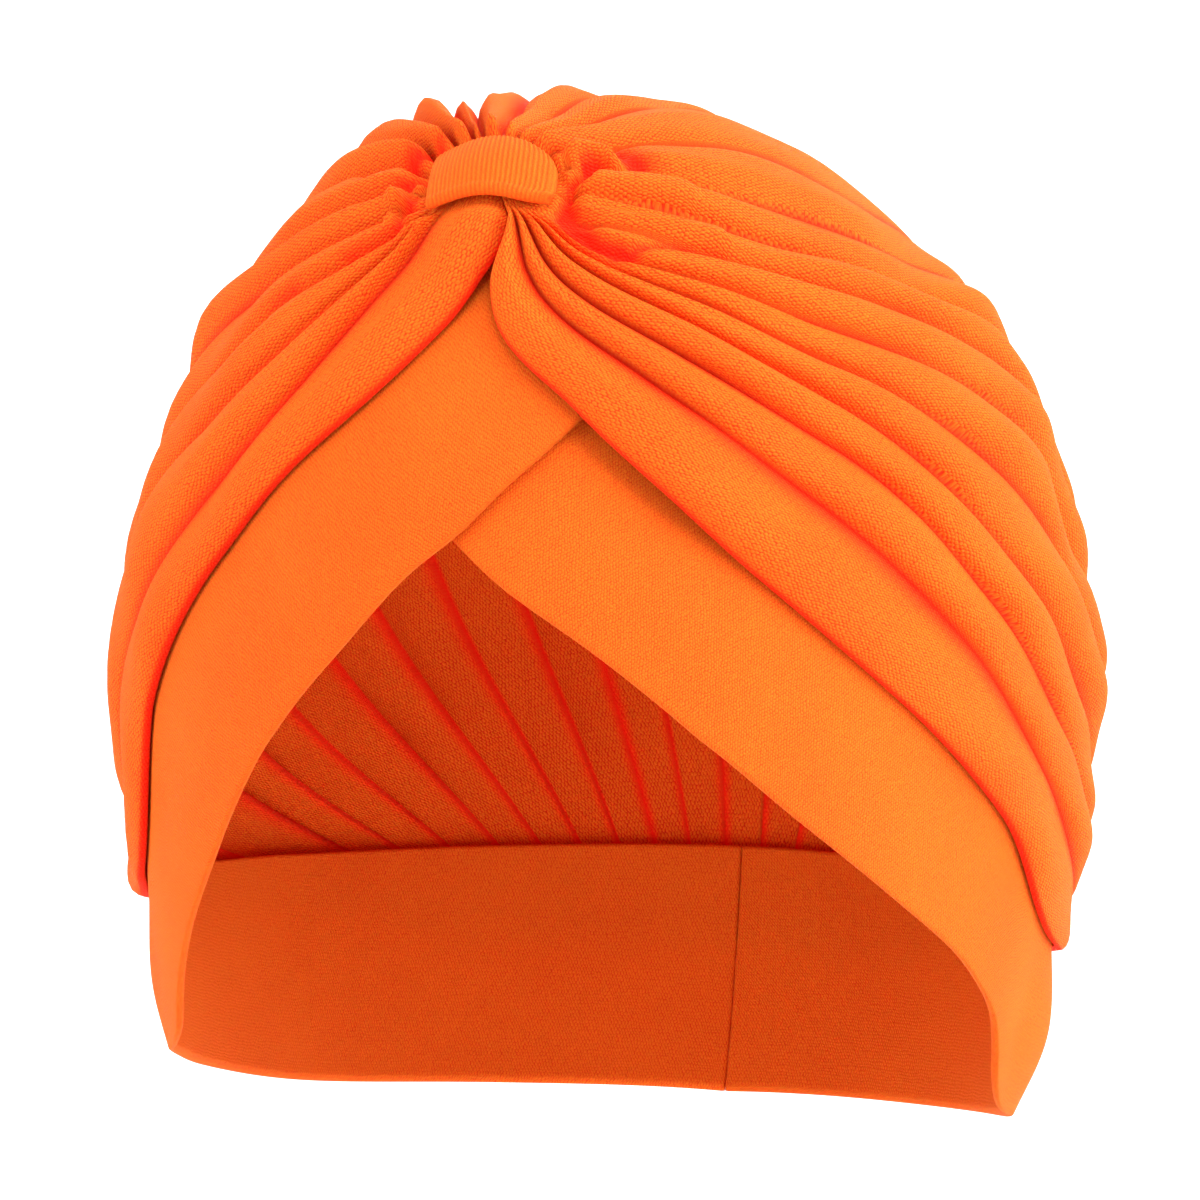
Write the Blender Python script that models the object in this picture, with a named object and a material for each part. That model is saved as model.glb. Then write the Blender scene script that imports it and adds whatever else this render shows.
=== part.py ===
"""Pre-tied turban hat of stretch jersey, as it keeps its form on a head.

A pleated crown is gathered into a knot above the brow, two plain bands cross below it
and run round to the nape, and a rib-knit tab covers the gathers.

Metres, +Z up, the face looks towards -Y. The origin is the seat: the top of the head, where it
touches the inside of the crown.
"""
import math

import bmesh
import bpy
from mathutils import Vector

# The head form that the cloth is stretched over, measured at its widest level
HALF_WIDTH = 0.0815
FRONT_REACH = 0.0855
BACK_REACH = 0.0990
TOP_RISE = 0.1020
BOTTOM_REACH = 0.1650
SQUARENESS = 2.05
SHOULDER_SLACK = 0.07
PLAN_TAPER = 0.10

# Local swellings and dents of that form. Columns: azimuth from the face and elevation of the
# middle and angle from there to the edge, in degrees, then the rise in the middle.
SWELLINGS = (
    (108, 44, 16, 0.0030),
    (108, 21, 14, -0.0026),
    (108, 67, 12, -0.0014),
    (-72, 56, 13, -0.0018),
    (-72, -18, 9, -0.0020),
    (108, -37, 11, 0.0034),
    (-72, -34, 10, 0.0016),
)

# Cloth
BAND_WALL = 0.0017
CROWN_WALL = 0.0016
TAB_WALL = 0.0020
CLOTH_GAP = 0.0005
CROWN_EASE = 0.0003

# Levels: how far the nape rim and the crown's back hem lie below the widest level
NAPE_DROP = 0.0860
BACK_HEM_DROP = 0.0570
BACK_HEM_SAG = 0.0020
BACK_HEM_TURN = math.radians(145.0)

# The knot: where the creases meet on the form, and the bunched cloth under the tab
KNOT_TURN = math.radians(1.4)
KNOT_ELEVATION = math.radians(59.5)
BUNCH_RISE = 0.0055
BUNCH_HALF_WIDTH = 0.0185
BUNCH_HALF_LENGTH = 0.0270

# The tab: its middle and foot from where the creases meet, and its length, longer on the left
TAB_WIDTH = 0.0214
TAB_SHIFT = -0.0003
TAB_FOOT = -0.0047
TAB_LENGTH = 0.0132
TAB_TAPER = 0.20
TAB_END_ROUNDING = 0.20

# Folds: crest height over the valleys, how much of it the inner face follows, and where it
# starts and is full, in half sizes of the tab from its middle
FOLD_HEIGHT = 0.0046
INNER_FOLLOW = 0.80
FOLD_START = 1.20
FOLD_FULL = 1.90

# Where the two bands lie over each other, seen from the middle of the head
CROSSING_TURN = math.radians(6.0)
CROSSING_ELEVATION = math.radians(33.0)
CROSSING_FULL = math.radians(38.0)
CROSSING_NONE = math.radians(62.0)

# Mesh fineness
CROWN_ROWS = 24
KNOT_ROWS = 3
KNOT_RING = math.radians(6.0)
CROWN_ROW_CROWDING = 1.25
BAND_COLUMNS = 40
BAND_ROWS = 5
TAB_COLUMNS = 12
TAB_ROWS = 7

# Creases of the crown, from the left front edge round the back to the right front edge.
# Columns: name, then the angle about the knot, in degrees from straight down the face and
# rising towards -X, where the crease crosses each ring of RINGS, then of the pleat that
# follows it the crest height near the knot, half way and far off, as shares of FOLD_HEIGHT,
# and the side that its crest leans to, -1 to its first crease and +1 to its second.
RINGS = (10.0, 25.0, 45.0, 70.0, 95.0, 120.0)
NEAR_RING = 14.0
MIDDLE_RING = 42.0
FAR_RING = 98.0
FOLDS = (
    ("left_edge", 5, 27, 46, 56, 57, 86, 0.75, 0.90, 0.45, -0.8),
    ("left_1", 48, 46, 58, 69, 73, 96, 0.70, 0.95, 0.60, -0.9),
    ("left_2", 56, 60, 74, 87, 91, 107, 0.70, 0.70, 0.45, -0.9),
    ("left_3", 66, 77, 87, 99, 103, 114, 0.80, 0.45, 0.35, -0.8),
    ("left_4", 82, 90, 101, 109, 113, 122, 1.00, 0.85, 0.35, -0.7),
    ("left_5", 102, 104, 112, 120, 123, 131, 1.10, 0.80, 0.40, -0.6),
    ("left_6", 126, 121, 124, 131, 133, 139, 1.45, 0.80, 0.45, -0.5),
    ("left_7", 138, 136, 136, 141, 143, 147, 1.60, 0.75, 0.40, -0.3),
    ("left_8", 145, 143, 144, 150, 152, 155, 1.50, 0.70, 0.40, -0.2),
    ("left_9", 150, 151, 152, 158, 160, 162, 1.05, 0.60, 0.40, 0.0),
    ("notch", 156, 157, 160, 167, 168, 169, 1.10, 0.60, 0.40, 0.0),
    ("right_11", 177, 175, 172, 177, 177, 177, 1.00, 0.60, 0.40, 0.1),
    ("right_10", 187, 184, 183, 186, 187, 185, 1.00, 0.65, 0.40, 0.2),
    ("right_9", 198, 196, 196, 198, 196, 193, 1.15, 0.50, 0.45, 0.3),
    ("right_8", 218, 219, 223, 216, 210, 203, 1.15, 0.30, 0.30, 0.4),
    ("right_7", 236, 242, 236, 225, 219, 211, 1.10, 0.40, 0.60, 0.5),
    ("right_6", 262, 255, 244, 232, 226, 217, 0.60, 0.70, 1.50, 0.5),
    ("right_5", 281, 266, 250, 238, 232, 223, 0.60, 0.90, 0.80, 0.6),
    ("right_4", 296, 276, 259, 246, 241, 229, 0.50, 0.80, 0.85, 0.7),
    ("right_3b", 301, 283, 268, 257, 250, 237, 0.50, 0.75, 0.80, 0.8),
    ("right_3", 307, 291, 276, 268, 260, 245, 0.60, 0.85, 0.60, 0.8),
    ("right_2", 319, 301, 284, 276, 268, 254, 0.55, 0.75, 0.60, 0.8),
    ("right_1", 329, 312, 295, 284, 276, 263, 0.70, 0.80, 0.55, 0.8),
    ("right_edge", 352, 331, 313, 298, 286, 275, 0.00, 0.00, 0.00, 0.0),
)
EDGE_ROLL = 0.45

# Edges of each band. Columns: azimuth in degrees from the face, rising towards +X, then the
# heights of its lower and upper edge, as shares of NAPE_DROP below the widest level and of
# TOP_RISE above it.
LEFT_BAND = (
    (-180, -1.00, -0.46),
    (-150, -0.98, -0.46),
    (-120, -0.93, -0.44),
    (-90, -0.83, -0.38),
    (-72, -0.76, -0.20),
    (-60, -0.72, 0.00),
    (-53, -0.67, 0.12),
    (-50, -0.60, 0.17),
    (-47, -0.53, 0.21),
    (-43, -0.45, 0.27),
    (-35, -0.30, 0.38),
    (-30, -0.19, 0.45),
    (-23, -0.04, 0.54),
    (-17, 0.06, 0.62),
    (-10, 0.16, 0.71),
    (-3, 0.26, 0.79),
    (3, 0.33, 0.83),
    (8, 0.40, 0.84),
    (13, 0.46, 0.82),
    (20, 0.54, 0.79),
    (31, 0.65, 0.76),
)
RIGHT_BAND = (
    (-15, 0.53, 0.74),
    (-6, 0.42, 0.72),
    (3, 0.31, 0.72),
    (8, 0.25, 0.72),
    (19, 0.14, 0.70),
    (31, 0.00, 0.60),
    (44, -0.17, 0.48),
    (60, -0.35, 0.30),
    (73, -0.48, 0.14),
    (80, -0.56, 0.05),
    (86, -0.64, -0.04),
    (89, -0.71, -0.08),
    (92, -0.79, -0.12),
    (97, -0.85, -0.17),
    (106, -0.89, -0.27),
    (125, -0.94, -0.41),
    (150, -0.98, -0.46),
    (180, -1.00, -0.46),
)

# Looks
JERSEY = (0.88, 0.16, 0.025, 1.0)
JERSEY_ROUGHNESS = 0.72
RIB = (0.86, 0.13, 0.020, 1.0)
RIB_ROUGHNESS = 0.80


def smooth_share(value, start, end):
    """Share from 0 at start to 1 at end, level at both."""
    share = min(max((value - start) / (end - start), 0.0), 1.0)
    return share * share * (3.0 - 2.0 * share)


def curve_through(stations, values, at):
    """Value at a station of the smooth curve through the given values."""
    last = len(stations) - 1
    if at <= stations[0]:
        return values[0]
    if at >= stations[last]:
        return values[last]
    k = max(i for i in range(last) if stations[i] <= at)

    def slope(i):
        before = max(i - 1, 0)
        after = min(i + 1, last)
        return (values[after] - values[before]) / (stations[after] - stations[before])

    width = stations[k + 1] - stations[k]
    share = (at - stations[k]) / width
    square = share * share
    cube = square * share
    return (
        (2 * cube - 3 * square + 1) * values[k]
        + (cube - 2 * square + share) * width * slope(k)
        + (3 * square - 2 * cube) * values[k + 1]
        + (cube - square) * width * slope(k + 1)
    )


def sphere_direction(turn, elevation):
    """Unit vector at an azimuth from the face and an elevation."""
    flat = math.cos(elevation)
    return Vector((math.sin(turn) * flat, -math.cos(turn) * flat, math.sin(elevation)))


def swelling(direction):
    """Rise of the form's local swellings in a direction."""
    rise = 0.0
    for azimuth, elevation, reach, height in SWELLINGS:
        middle = sphere_direction(math.radians(azimuth), math.radians(elevation))
        angle = math.degrees(math.acos(max(-1.0, min(1.0, direction.dot(middle)))))
        rise += height * (1.0 - smooth_share(angle, 0.0, reach))
    return rise


def shoulder_share(direction):
    """1 a third of the way up from the widest level, easing to 0 there and at the top."""
    rise = max(direction.z, 0.0)
    return 4.0 * rise * (1.0 - rise)


def form_radius(direction, lift):
    """Distance from the middle of the head to its surface, raised by lift."""
    x = direction.x / (1.0 + PLAN_TAPER * direction.y)
    side = HALF_WIDTH + lift
    depth = (BACK_REACH if direction.y > 0.0 else FRONT_REACH) + lift
    height = (TOP_RISE if direction.z > 0.0 else BOTTOM_REACH) + lift
    power = SQUARENESS - SHOULDER_SLACK * shoulder_share(direction)
    total = abs(x / side) ** power + abs(direction.y / depth) ** power + abs(direction.z / height) ** power
    return total ** (-1.0 / power) + swelling(direction)


def on_form(direction, lift):
    """Point of the raised form in a direction from the middle of the head."""
    point = direction * form_radius(direction, lift)
    return point - Vector((0.0, 0.0, TOP_RISE))


def level_direction(turn, height):
    """Direction to the form's point at an azimuth and a height over the widest level."""
    low, high = math.radians(-85.0), math.radians(89.0)
    for _ in range(30):
        elevation = 0.5 * (low + high)
        direction = sphere_direction(turn, elevation)
        if form_radius(direction, 0.0) * direction.z < height:
            low = elevation
        else:
            high = elevation
    return direction


KNOT = sphere_direction(KNOT_TURN, KNOT_ELEVATION)
KNOT_SIDE = Vector((math.cos(KNOT_TURN), math.sin(KNOT_TURN), 0.0))
KNOT_UP = KNOT.cross(KNOT_SIDE)
KNOT_RADIUS = form_radius(KNOT, 0.0)
CROSSING = sphere_direction(CROSSING_TURN, CROSSING_ELEVATION)


def around_knot(ring, turn):
    """Direction at an angle from the knot and a turn about it from straight down the face."""
    sideways = -math.sin(turn)
    upwards = -math.cos(turn)
    outward = KNOT_SIDE * sideways + KNOT_UP * upwards
    return KNOT * math.cos(ring) + outward * math.sin(ring)


def knot_place(direction):
    """Angle from the knot, and turn about it, of a direction."""
    ring = math.acos(max(-1.0, min(1.0, direction.dot(KNOT))))
    turn = math.atan2(-direction.dot(KNOT_SIDE), -direction.dot(KNOT_UP))
    return ring, turn


def crossing_share(direction):
    """1 where the two bands lie over each other, easing to 0 away from there."""
    angle = direction.angle(CROSSING)
    return 1.0 - smooth_share(angle, CROSSING_FULL, CROSSING_NONE)


def band_step():
    """Lift that one layer of band takes up."""
    return BAND_WALL + CLOTH_GAP


def knot_offsets(direction):
    """How far to the right of the knot and above it a direction meets the form."""
    return direction.dot(KNOT_SIDE) * KNOT_RADIUS, direction.dot(KNOT_UP) * KNOT_RADIUS


def tab_length(across):
    """Length of the tab, from -1 at its left end to 1 at its right end."""
    return TAB_LENGTH * (1.0 - TAB_TAPER * max(-1.0, min(1.0, across)))


def bunch_lift(direction):
    """Rise of the gathered cloth under the tab."""
    sideways, upwards = knot_offsets(direction)
    across = (sideways - TAB_SHIFT) / BUNCH_HALF_WIDTH
    along = (upwards - TAB_FOOT - 0.5 * TAB_LENGTH) / BUNCH_HALF_LENGTH
    return BUNCH_RISE * (1.0 - smooth_share(math.hypot(across, along), 0.0, 1.0))


def fold_share(direction):
    """Share of the folds' height: none under the tab, all of it a little beyond its edge."""
    sideways, upwards = knot_offsets(direction)
    across = 2.0 * (sideways - TAB_SHIFT) / TAB_WIDTH
    half = 0.5 * tab_length(across)
    along = (upwards - TAB_FOOT - half) / half
    return smooth_share((across ** 4 + along ** 4) ** 0.25, FOLD_START, FOLD_FULL)


def crown_floor(direction):
    """Lift of the crown's inner face in the valleys: clear of the bands under it."""
    return CROWN_EASE + band_step() * (1.0 + crossing_share(direction))


def cloth_shell(name, columns, rows, place):
    """Closed sheet of cloth: two grids, placed by place(column, row, outside), and their rim."""
    bm = bmesh.new()
    sides = []
    for outside in (True, False):
        grid = bmesh.ops.create_grid(bm, x_segments=columns, y_segments=rows, size=1.0)["verts"]
        side = {}
        for vert in grid:
            column = round((vert.co.x + 1.0) / 2.0 * columns)
            row = round((vert.co.y + 1.0) / 2.0 * rows)
            side[column, row] = vert
        for (column, row), vert in side.items():
            vert.co = place(column, row, outside)
        sides.append(side)
    outer, inner = sides
    rim = [(column, 0) for column in range(columns)]
    rim += [(columns, row) for row in range(rows)]
    rim += [(column, rows) for column in range(columns, 0, -1)]
    rim += [(0, row) for row in range(rows, 0, -1)]
    for here, there in zip(rim, rim[1:] + rim[:1]):
        bm.faces.new((outer[here], outer[there], inner[there], inner[here]))
    bmesh.ops.remove_doubles(bm, verts=bm.verts, dist=0.00002)
    bmesh.ops.recalc_face_normals(bm, faces=bm.faces)
    bmesh.ops.triangulate(bm, faces=bm.faces)
    mesh = bpy.data.meshes.new(name)
    bm.to_mesh(mesh)
    bm.free()
    mesh.shade_smooth()
    mesh.set_sharp_from_angle(angle=math.radians(60.0))
    piece = bpy.data.objects.new(name, mesh)
    bpy.context.scene.collection.objects.link(piece)
    return piece


def crest_share(fold, ring):
    """Crest height of the pleat after a crease, at an angle from the knot in degrees."""
    near, middle, far = fold[7:10]
    return curve_through((NEAR_RING, MIDDLE_RING, FAR_RING, 150.0), (near, middle, far, far * 0.4), ring)


def pleat_profile(share, crest):
    """Height across a pleat: sharp in both creases and round at the crest."""
    if share < crest:
        rise = share / crest
    else:
        rise = (1.0 - share) / (1.0 - crest)
    return math.sin(0.5 * math.pi * rise) ** 0.8


def pleat_columns():
    """Columns of the crown: for each, its crease, its share of the pleat and the crest's."""
    columns = []
    for index, fold in enumerate(FOLDS[:-1]):
        crest = 0.5 + 0.2 * fold[10]
        for share in (0.0, 0.42 * crest, crest, crest + 0.52 * (1.0 - crest)):
            columns.append((index, share, crest))
    columns.append((len(FOLDS) - 2, 1.0, 0.5))
    return columns


def crown_ring(row, hem_ring):
    """Angle from the knot of a row: a few under the tab, then closer near it than far off."""
    if row <= KNOT_ROWS:
        return KNOT_RING * row / KNOT_ROWS
    share = (row - KNOT_ROWS) / (CROWN_ROWS - KNOT_ROWS)
    return KNOT_RING + (hem_ring - KNOT_RING) * share ** CROWN_ROW_CROWDING


def crown_hem_direction(share):
    """Direction to the crown's back hem, from its left corner to its right one."""
    turn = -BACK_HEM_TURN - share * 2.0 * (math.pi - BACK_HEM_TURN)
    drop = BACK_HEM_DROP + BACK_HEM_SAG * math.sin(math.pi * share)
    return level_direction(turn, -drop)


def build_crown():
    """The pleated crown: a fan of cloth round the knot, from the brow over the top to the nape."""
    columns = pleat_columns()
    creases = len(FOLDS) - 1
    lines = []
    for index, share, crest in columns:
        hem_ring, hem_turn = knot_place(crown_hem_direction((index + share) / creases))
        first, second = FOLDS[index], FOLDS[index + 1]
        turns = [a + (b - a) * share for a, b in zip(first[1:7], second[1:7])]
        stations = RINGS + (math.degrees(hem_ring),)
        turns.append(math.degrees(hem_turn) % 360.0)
        lines.append((stations, turns, hem_ring))

    def place(column, row, outside):
        index, share, crest = columns[column]
        stations, turns, hem_ring = lines[column]
        ring = crown_ring(row, hem_ring)
        turn = math.radians(curve_through(stations, turns, math.degrees(ring)))
        direction = around_knot(ring, turn)
        fold = FOLDS[index]
        height = FOLD_HEIGHT * crest_share(fold, math.degrees(ring))
        profile = pleat_profile(share, crest)
        if column in (0, len(columns) - 1):
            profile = EDGE_ROLL
        relief = height * profile * fold_share(direction)
        floor = crown_floor(direction) + bunch_lift(direction)
        if outside:
            return on_form(direction, floor + CROWN_WALL + relief)
        return on_form(direction, floor + INNER_FOLLOW * relief)

    return cloth_shell("crown", len(columns) - 1, CROWN_ROWS, place)


def build_band(name, table, over):
    """A plain band between its lower and upper edge; over is its share of the other's lift."""
    stations = [row[0] for row in table]
    lows = [row[1] for row in table]
    highs = [row[2] for row in table]
    seam = math.degrees(0.5 * CLOTH_GAP / BACK_REACH)
    start = max(stations[0], -180.0 + seam)
    end = min(stations[-1], 180.0 - seam)

    def level(share):
        return share * (TOP_RISE if share > 0.0 else NAPE_DROP)

    def place(column, row, outside):
        azimuth = start + (end - start) * column / BAND_COLUMNS
        low = level(curve_through(stations, lows, azimuth))
        high = level(curve_through(stations, highs, azimuth))
        height = low + (high - low) * row / BAND_ROWS
        direction = level_direction(math.radians(azimuth), height)
        lift = over * band_step() * crossing_share(direction)
        return on_form(direction, lift + (BAND_WALL if outside else 0.0))

    return cloth_shell(name, BAND_COLUMNS, BAND_ROWS, place)


def build_tab():
    """The rib-knit tab, arched over the gathered cloth of the knot."""

    def place(column, row, outside):
        across = (column / TAB_COLUMNS - 0.5) * 2.0
        along = (row / TAB_ROWS - 0.5) * 2.0
        half = 0.5 * tab_length(across)
        sideways = TAB_SHIFT + across * 0.5 * TAB_WIDTH * (1.0 - TAB_END_ROUNDING * along ** 4)
        upwards = TAB_FOOT + half + along * half * (1.0 - TAB_END_ROUNDING * across ** 4)
        direction = (KNOT * KNOT_RADIUS + KNOT_SIDE * sideways + KNOT_UP * upwards).normalized()
        floor = crown_floor(direction) + bunch_lift(direction) + CROWN_WALL + CLOTH_GAP
        return on_form(direction, floor + (TAB_WALL if outside else 0.0))

    return cloth_shell("knot_tab", TAB_COLUMNS, TAB_ROWS, place)


def cloth_material(name, colour, roughness):
    """A plain Principled finish."""
    material = bpy.data.materials.new(name)
    material.use_nodes = True
    shader = material.node_tree.nodes["Principled BSDF"]
    shader.inputs["Base Color"].default_value = colour
    shader.inputs["Roughness"].default_value = roughness
    shader.inputs["Metallic"].default_value = 0.0
    return material


def main():
    """Clear the scene and build the four pieces."""
    for existing in list(bpy.data.objects):
        bpy.data.objects.remove(existing)
    crown = build_crown()
    band_left = build_band("band_left", LEFT_BAND, 1.0)
    band_right = build_band("band_right", RIGHT_BAND, 0.0)
    tab = build_tab()
    for piece in (crown, band_left, band_right):
        piece.data.materials.append(cloth_material(piece.name + "_jersey", JERSEY, JERSEY_ROUGHNESS))
    tab.data.materials.append(cloth_material("tab_rib", RIB, RIB_ROUGHNESS))


main()
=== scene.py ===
"""Pre-tied turban hat of orange stretch jersey, in the form it has when worn, and its studio.

Metres, +Z up, the face looks towards -Y. The origin is the top of the head, where it touches the
inside of the crown. The four pieces are a pleated crown, two bands that cross over the brow, and
a rib-knit tab over the gathers.
"""
from __future__ import annotations

import logging
import math
from dataclasses import dataclass, field
from enum import Enum

import bmesh
import bpy
import numpy as np
from mathutils import Matrix, Vector


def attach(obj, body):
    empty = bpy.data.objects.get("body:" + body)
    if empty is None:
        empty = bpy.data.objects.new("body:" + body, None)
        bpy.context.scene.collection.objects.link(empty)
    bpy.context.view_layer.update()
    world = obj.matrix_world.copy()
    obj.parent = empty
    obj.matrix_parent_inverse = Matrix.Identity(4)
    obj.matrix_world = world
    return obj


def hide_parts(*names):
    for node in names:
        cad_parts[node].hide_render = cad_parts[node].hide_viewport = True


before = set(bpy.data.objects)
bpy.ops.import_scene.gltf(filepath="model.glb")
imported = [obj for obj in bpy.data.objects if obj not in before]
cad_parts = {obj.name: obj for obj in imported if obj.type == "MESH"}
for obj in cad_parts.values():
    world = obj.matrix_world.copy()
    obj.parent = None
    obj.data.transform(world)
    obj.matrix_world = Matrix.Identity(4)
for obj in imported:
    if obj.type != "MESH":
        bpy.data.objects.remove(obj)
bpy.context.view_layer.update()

LOG = logging.getLogger("turban_hat")
MILLIMETRE = 0.001
WELD = 0.000002
CLOTH_MAP = "cloth_mm"
# Mark of painted shade on the cloth's points: creases, dents and rib valleys take the red crease colour by it
PAINTED_SHADE = "painted_shade"

# Share of the rim's radius and of the wall's half thickness at each step round a folded rim
RIM_ANGLES = np.radians((0.0, 25.0, 50.0, 70.0, 90.0))
RIM_STEPS = tuple((1.0 - math.cos(angle), math.sin(angle)) for angle in RIM_ANGLES)


class BandSide(Enum):
    """The two bands, by the side of the wearer's head that each starts from, seen in the photograph."""

    LEFT = "band_left"
    RIGHT = "band_right"


def smooth_share(value: np.ndarray, start: float, end: float) -> np.ndarray:
    """Share from 0 at start to 1 at end, level at both."""
    share = np.clip((value - start) / (end - start), 0.0, 1.0)
    return share * share * (3.0 - 2.0 * share)


def curve_through(stations: np.ndarray, values: np.ndarray, at: np.ndarray) -> np.ndarray:
    """Read a smooth curve through given values.

    Args:
        stations: rising places where the values are given.
        values: the curve's value at each station.
        at: the places to read; past the ends the end values hold.

    Returns:
        The curve's value at each place.
    """
    stations = np.asarray(stations, float)
    values = np.asarray(values, float)
    last = len(stations) - 1
    before = np.maximum(np.arange(last + 1) - 1, 0)
    after = np.minimum(np.arange(last + 1) + 1, last)
    slopes = (values[after] - values[before]) / (stations[after] - stations[before])
    at = np.clip(at, stations[0], stations[last])
    k = np.clip(np.searchsorted(stations, at, side="right") - 1, 0, last - 1)
    width = stations[k + 1] - stations[k]
    share = (at - stations[k]) / width
    square, cube = share * share, share * share * share
    return (
        (2 * cube - 3 * square + 1) * values[k]
        + (cube - 2 * square + share) * width * slopes[k]
        + (3 * square - 2 * cube) * values[k + 1]
        + (cube - square) * width * slopes[k + 1]
    )


def sphere_direction(turn: np.ndarray, elevation: np.ndarray) -> np.ndarray:
    """Unit vectors at an azimuth from the face and an elevation."""
    flat = np.cos(elevation)
    return np.stack([np.sin(turn) * flat, -np.cos(turn) * flat, np.sin(elevation) + 0.0 * turn], -1)


# Local swellings and dents of the head form. Columns: azimuth from the face and elevation of the
# middle and angle from there to the edge, in degrees, then the rise in the middle in metres.
SWELLINGS = (
    (108, 44, 16, 0.0030),
    (108, 19, 13, -0.0030),
    (150, 78, 12, 0.0016),
    (108, 67, 12, -0.0014),
    (-72, 56, 13, -0.0018),
    (-72, -18, 9, -0.0020),
    (108, -37, 11, 0.0034),
    (-72, -34, 10, 0.0016),
)


@dataclass(frozen=True)
class HeadForm:
    """The head that the cloth is stretched over, measured at its widest level."""

    half_width: float = 0.0815
    front_reach: float = 0.0855
    back_reach: float = 0.0990
    top_rise: float = 0.1020
    bottom_reach: float = 0.1650
    squareness: float = 2.05
    shoulder_slack: float = 0.07
    plan_taper: float = 0.10

    def radius(self, direction: np.ndarray, lift: np.ndarray | float) -> np.ndarray:
        """Distance from the middle of the head to its surface.

        Args:
            direction: unit vectors from the middle of the head.
            lift: how far the surface is raised.

        Returns:
            One distance for each direction.
        """
        x = direction[..., 0] / (1.0 + self.plan_taper * direction[..., 1])
        side = self.half_width + lift
        depth = np.where(direction[..., 1] > 0.0, self.back_reach, self.front_reach) + lift
        height = np.where(direction[..., 2] > 0.0, self.top_rise, self.bottom_reach) + lift
        rise = np.maximum(direction[..., 2], 0.0)
        power = self.squareness - self.shoulder_slack * 4.0 * rise * (1.0 - rise)
        total = (
            np.abs(x / side) ** power
            + np.abs(direction[..., 1] / depth) ** power
            + np.abs(direction[..., 2] / height) ** power
        )
        return total ** (-1.0 / power) + self.swelling(direction)

    def swelling(self, direction: np.ndarray) -> np.ndarray:
        """Rise of the local swellings in the given directions."""
        rise = np.zeros(direction.shape[:-1])
        for azimuth, elevation, reach, height in SWELLINGS:
            middle = sphere_direction(np.float64(math.radians(azimuth)), np.float64(math.radians(elevation)))
            angle = np.degrees(np.arccos(np.clip(direction @ middle, -1.0, 1.0)))
            rise += height * (1.0 - smooth_share(angle, 0.0, reach))
        return rise

    def point(self, direction: np.ndarray, lift: np.ndarray | float) -> np.ndarray:
        """Points of the raised form in the given directions, measured from the origin."""
        place = direction * self.radius(direction, lift)[..., None]
        place[..., 2] -= self.top_rise
        return place

    def level_direction(self, turn: np.ndarray, height: np.ndarray) -> np.ndarray:
        """Find the directions to points at given heights.

        Args:
            turn: azimuths from the face.
            height: heights over the widest level.

        Returns:
            Unit vectors from the middle of the head.
        """
        low = np.full(np.shape(height), math.radians(-85.0))
        high = np.full(np.shape(height), math.radians(89.0))
        for _ in range(34):
            elevation = 0.5 * (low + high)
            direction = sphere_direction(turn, elevation)
            under = self.radius(direction, 0.0) * direction[..., 2] < height
            low = np.where(under, elevation, low)
            high = np.where(under, high, elevation)
        return sphere_direction(turn, 0.5 * (low + high))


@dataclass(frozen=True)
class Layers:
    """How the two bands and the crown lie on each other, out from the head."""

    band_wall: float = 0.0017
    gap: float = 0.0005
    ease: float = 0.0003
    crossing_turn: float = math.radians(4.0)
    crossing_elevation: float = math.radians(40.0)
    crossing_full: float = math.radians(21.0)
    crossing_none: float = math.radians(38.0)

    @property
    def step(self) -> float:
        """Lift that one layer of band takes up."""
        return self.band_wall + self.gap

    def crossing_share(self, direction: np.ndarray) -> np.ndarray:
        """1 where the two bands lie over each other, easing to 0 away from there."""
        middle = sphere_direction(np.float64(self.crossing_turn), np.float64(self.crossing_elevation))
        angle = np.arccos(np.clip(direction @ middle, -1.0, 1.0))
        return 1.0 - smooth_share(angle, self.crossing_full, self.crossing_none)

    def crown_floor(self, direction: np.ndarray) -> np.ndarray:
        """Lift of the crown's inner face in its valleys, clear of the bands under it."""
        return self.ease + self.step * (1.0 + self.crossing_share(direction))


@dataclass(frozen=True)
class TabOutline:
    """Outline of the tab on the form: its middle and foot from the knot, and its slanting sides."""

    width: float = 0.0214
    shift: float = -0.0003
    foot: float = -0.0047
    length: float = 0.0135
    taper: float = 0.16
    skew: float = 0.15
    left_rounding: float = 0.06
    right_rounding: float = 0.34

    def length_at(self, across: np.ndarray) -> np.ndarray:
        """Length of the tab at a share from -1 at its left end to 1 at its right end."""
        return self.length * (1.0 - self.taper * np.clip(across, -1.0, 1.0))

    def place(self, across: np.ndarray, along: np.ndarray) -> tuple[np.ndarray, np.ndarray]:
        """Offsets to the right of the knot and above it of shares, -1 to 1, across and along the tab."""
        half = 0.5 * self.length_at(across)
        rounding = np.where(across > 0.0, self.right_rounding, self.left_rounding)
        upwards = self.foot + half + along * half * (1.0 - rounding * np.abs(across) ** 5)
        sideways = self.shift + across * 0.5 * self.width * (1.0 - 0.3 * rounding * along ** 4)
        return sideways - self.skew * (upwards - self.foot), upwards

    def distance(self, sideways: np.ndarray, upwards: np.ndarray) -> np.ndarray:
        """Distance from the tab's middle in half sizes of the tab, 1 at its edge."""
        across = 2.0 * (sideways + self.skew * (upwards - self.foot) - self.shift) / self.width
        half = 0.5 * self.length_at(across)
        along = (upwards - self.foot - half) / half
        return (across ** 4 + along ** 4) ** 0.25


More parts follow.
